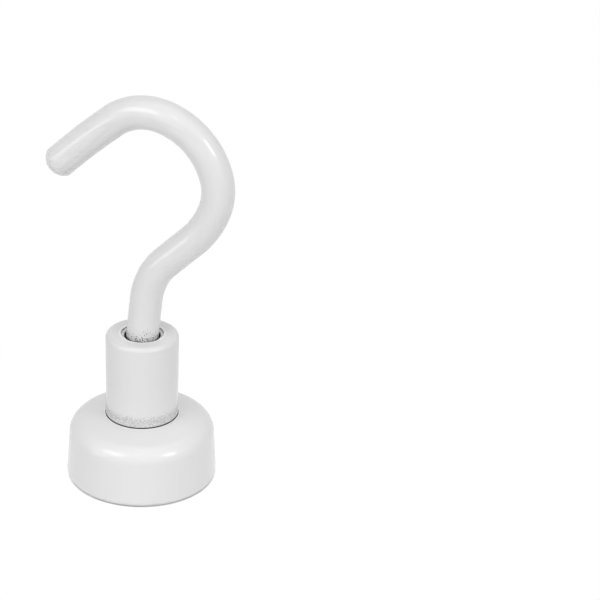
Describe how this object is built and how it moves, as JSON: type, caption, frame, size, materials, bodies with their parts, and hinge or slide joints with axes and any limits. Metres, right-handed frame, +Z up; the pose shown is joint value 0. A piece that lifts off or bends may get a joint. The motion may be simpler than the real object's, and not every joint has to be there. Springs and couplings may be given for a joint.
{
  "type": "magnetic hook",
  "caption": "Round pot with a disc magnet in its underside, a tall collar on top and a bent round hook that swivels in the collar.",
  "frame": {"origin": "centre of the magnet's flat face, which is level with the pot's rim", "axes": "+Z up along the pot, the collar and the swivel; the hook is bent in the XZ plane, its back bulging towards +X and its tip pointing towards -X"},
  "size_m": [0.0252, 0.02, 0.0534],
  "materials": {
    "white_coat": "semi-gloss white powder coat on steel",
    "spring_steel": "plain spring steel wire",
    "zinc_plate": "bright zinc plate",
    "adhesive": "cured black epoxy",
    "nickel_plate": "satin nickel plate with a fine grain"
  },
  "bodies": {
    "base": {"pot": "white_coat", "collar": "white_coat", "clamp_screw": "zinc_plate", "magnet_adhesive": "adhesive", "magnet": "nickel_plate"},
    "hook": {"hook": "white_coat", "retaining_ring": "spring_steel"}
  },
  "joints": [
    {"name": "hook_swivel", "type": "hinge", "parent": "base", "child": "hook", "pos_m": [0, 0, 0.02067], "axis": [0, 0, 1], "continuous": true}
  ]
}
